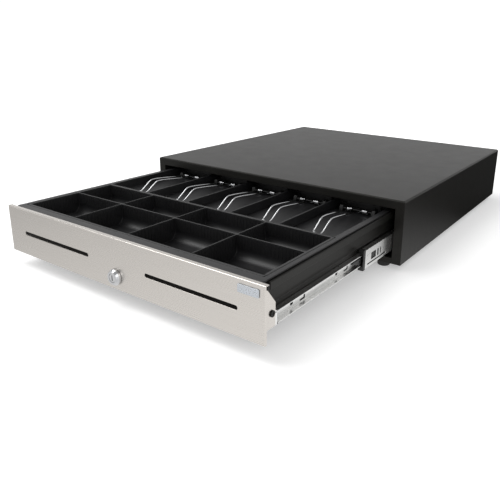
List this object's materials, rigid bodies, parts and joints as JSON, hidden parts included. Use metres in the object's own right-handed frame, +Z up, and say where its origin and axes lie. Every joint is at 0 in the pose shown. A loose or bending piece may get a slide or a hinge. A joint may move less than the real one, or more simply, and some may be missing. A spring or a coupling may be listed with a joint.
{
  "type": "cash drawer",
  "caption": "Steel cash drawer, open: a low black case with a stainless-fronted drawer on ball-bearing slides, a cam lock, and a till tray with coin cups and clipped note bays.",
  "frame": {"origin": "on the surface that the feet stand on, under the middle of the overall box with the drawer open", "axes": "+Z up, -Y the way the drawer opens, X across the width, with X = 0 the plane of symmetry of the case"},
  "size_m": [0.46, 0.766, 0.1],
  "materials": {
    "coating": "fine textured black powder coat",
    "stainless": "brushed along the width",
    "zinc": "bright zinc plate",
    "chrome": "polished",
    "tray": "moulded black ABS, fine texture",
    "nylon": "moulded black nylon",
    "rubber": "black moulded rubber",
    "copper": "varnished copper winding with amber tape",
    "label": "plain blank label"
  },
  "bodies": {
    "case": {"case_cover": "coating", "case_base": "coating", "rear_panel": "coating", "cable_socket": "nylon", "foot_front_left": "rubber", "foot_front_right": "rubber", "foot_rear_left": "rubber", "foot_rear_right": "rubber", "rail_bracket_left": "zinc", "rail_bracket_right": "zinc", "cabinet_rail_left": "zinc", "cabinet_rail_right": "zinc", "lock_keeper": "zinc", "latch_bracket": "zinc", "solenoid_frame": "zinc", "solenoid_coil": "copper", "micro_switch": "nylon", "ejector_housing": "nylon", "ejector_spring": "zinc"},
    "drawer": {"drawer_pan": "coating", "front_panel": "stainless", "badge": "label", "panel_screw_left": "coating", "panel_screw_right": "coating", "drawer_rail_left": "zinc", "drawer_rail_right": "zinc", "lock_body": "chrome", "latch_striker": "zinc", "ear_bracket": "zinc"},
    "lock_barrel": {"lock_plug": "chrome", "lock_cam": "zinc"},
    "tray": {"till_tray": "tray", "note_divider_1": "tray", "note_divider_2": "tray", "note_divider_3": "tray", "note_divider_4": "tray", "clip_bracket_1": "nylon", "clip_bracket_2": "nylon", "clip_bracket_3": "nylon", "clip_bracket_4": "nylon", "clip_bracket_5": "nylon"},
    "coin_tray": {"coin_insert": "tray"},
    "latch": {"latch_lever": "zinc"},
    "latch_armature": {"solenoid_plunger": "zinc"},
    "ejector": {"ejector_plunger": "zinc"},
    "mid_slide_left": {"mid_rail_left": "zinc", "mid_bumper_left": "nylon"},
    "outer_cage_left": {"outer_ball_cage_left": "zinc"},
    "inner_cage_left": {"inner_ball_cage_left": "nylon"},
    "slide_release_left": {"release_lever_left": "nylon"},
    "mid_slide_right": {"mid_rail_right": "zinc", "mid_bumper_right": "nylon"},
    "outer_cage_right": {"outer_ball_cage_right": "zinc"},
    "inner_cage_right": {"inner_ball_cage_right": "nylon"},
    "slide_release_right": {"release_lever_right": "nylon"},
    "clip_1": {"note_clip_1": "chrome"},
    "clip_2": {"note_clip_2": "chrome"},
    "clip_3": {"note_clip_3": "chrome"},
    "clip_4": {"note_clip_4": "chrome"},
    "clip_5": {"note_clip_5": "chrome"}
  },
  "joints": [
    {"name": "drawer_slide", "type": "slide", "parent": "case", "child": "drawer", "axis": [0, -1, 0], "range_m": [-0.29, 0.025]},
    {"name": "mid_slide_left_travel", "type": "slide", "parent": "case", "child": "mid_slide_left", "axis": [0, -1, 0], "range_m": [-0.1044, 0.009]},
    {"name": "outer_cage_left_travel", "type": "slide", "parent": "case", "child": "outer_cage_left", "axis": [0, -1, 0], "range_m": [-0.0522, 0.0045]},
    {"name": "inner_cage_left_travel", "type": "slide", "parent": "case", "child": "inner_cage_left", "axis": [0, -1, 0], "range_m": [-0.1972, 0.017]},
    {"name": "slide_release_left_lever", "type": "hinge", "parent": "drawer", "child": "slide_release_left", "pos_m": [-0.2103, -0.177, 0.041], "axis": [1, 0, 0], "range_deg": [0, 18], "stiffness_Nm_per_rad": 0.02, "springref_deg": -2.86},
    {"name": "mid_slide_right_travel", "type": "slide", "parent": "case", "child": "mid_slide_right", "axis": [0, -1, 0], "range_m": [-0.1044, 0.009]},
    {"name": "outer_cage_right_travel", "type": "slide", "parent": "case", "child": "outer_cage_right", "axis": [0, -1, 0], "range_m": [-0.0522, 0.0045]},
    {"name": "inner_cage_right_travel", "type": "slide", "parent": "case", "child": "inner_cage_right", "axis": [0, -1, 0], "range_m": [-0.1972, 0.017]},
    {"name": "slide_release_right_lever", "type": "hinge", "parent": "drawer", "child": "slide_release_right", "pos_m": [0.2103, -0.177, 0.041], "axis": [1, 0, 0], "range_deg": [0, 18], "stiffness_Nm_per_rad": 0.02, "springref_deg": -2.86},
    {"name": "lock_turn", "type": "hinge", "parent": "drawer", "child": "lock_barrel", "pos_m": [0, -0.377, 0.035], "axis": [0, 1, 0], "range_deg": [0, 90]},
    {"name": "tray_tilt", "type": "hinge", "parent": "drawer", "child": "tray", "pos_m": [0, -0.05, 0.08], "axis": [-1, 0, 0], "range_deg": [0, 8]},
    {"name": "coin_tray_lift", "type": "slide", "parent": "tray", "child": "coin_tray", "axis": [0, 0, 1], "range_m": [0, 0.035]},
    {"name": "clip_1_raise", "type": "hinge", "parent": "tray", "child": "clip_1", "pos_m": [-0.158, -0.08, 0.073], "axis": [-1, 0, 0], "range_deg": [0, 40], "stiffness_Nm_per_rad": 0.03, "springref_deg": -20.05},
    {"name": "clip_2_raise", "type": "hinge", "parent": "tray", "child": "clip_2", "pos_m": [-0.079, -0.08, 0.073], "axis": [-1, 0, 0], "range_deg": [0, 40], "stiffness_Nm_per_rad": 0.03, "springref_deg": -20.05},
    {"name": "clip_3_raise", "type": "hinge", "parent": "tray", "child": "clip_3", "pos_m": [0, -0.08, 0.073], "axis": [-1, 0, 0], "range_deg": [0, 40], "stiffness_Nm_per_rad": 0.03, "springref_deg": -20.05},
    {"name": "clip_4_raise", "type": "hinge", "parent": "tray", "child": "clip_4", "pos_m": [0.079, -0.08, 0.073], "axis": [-1, 0, 0], "range_deg": [0, 40], "stiffness_Nm_per_rad": 0.03, "springref_deg": -20.05},
    {"name": "clip_5_raise", "type": "hinge", "parent": "tray", "child": "clip_5", "pos_m": [0.158, -0.08, 0.073], "axis": [-1, 0, 0], "range_deg": [0, 40], "stiffness_Nm_per_rad": 0.03, "springref_deg": -20.05},
    {"name": "latch_pivot", "type": "hinge", "parent": "case", "child": "latch", "pos_m": [0, 0.293, 0.04], "axis": [1, 0, 0], "range_deg": [-12, 0]},
    {"name": "armature_travel", "type": "slide", "parent": "case", "child": "latch_armature", "axis": [0, 1, 0], "range_m": [-0.003, 0]},
    {"name": "ejector_travel", "type": "slide", "parent": "case", "child": "ejector", "axis": [0, -1, 0], "range_m": [0, 0.02]}
  ],
  "couplings": [
    {"joint": "mid_slide_left_travel", "follows": "drawer_slide", "ratio": 0.36},
    {"joint": "outer_cage_left_travel", "follows": "drawer_slide", "ratio": 0.18},
    {"joint": "inner_cage_left_travel", "follows": "drawer_slide", "ratio": 0.68},
    {"joint": "mid_slide_right_travel", "follows": "drawer_slide", "ratio": 0.36},
    {"joint": "outer_cage_right_travel", "follows": "drawer_slide", "ratio": 0.18},
    {"joint": "inner_cage_right_travel", "follows": "drawer_slide", "ratio": 0.68},
    {"joint": "armature_travel", "follows": "latch_pivot", "m_per_rad": 0.013}
  ]
}
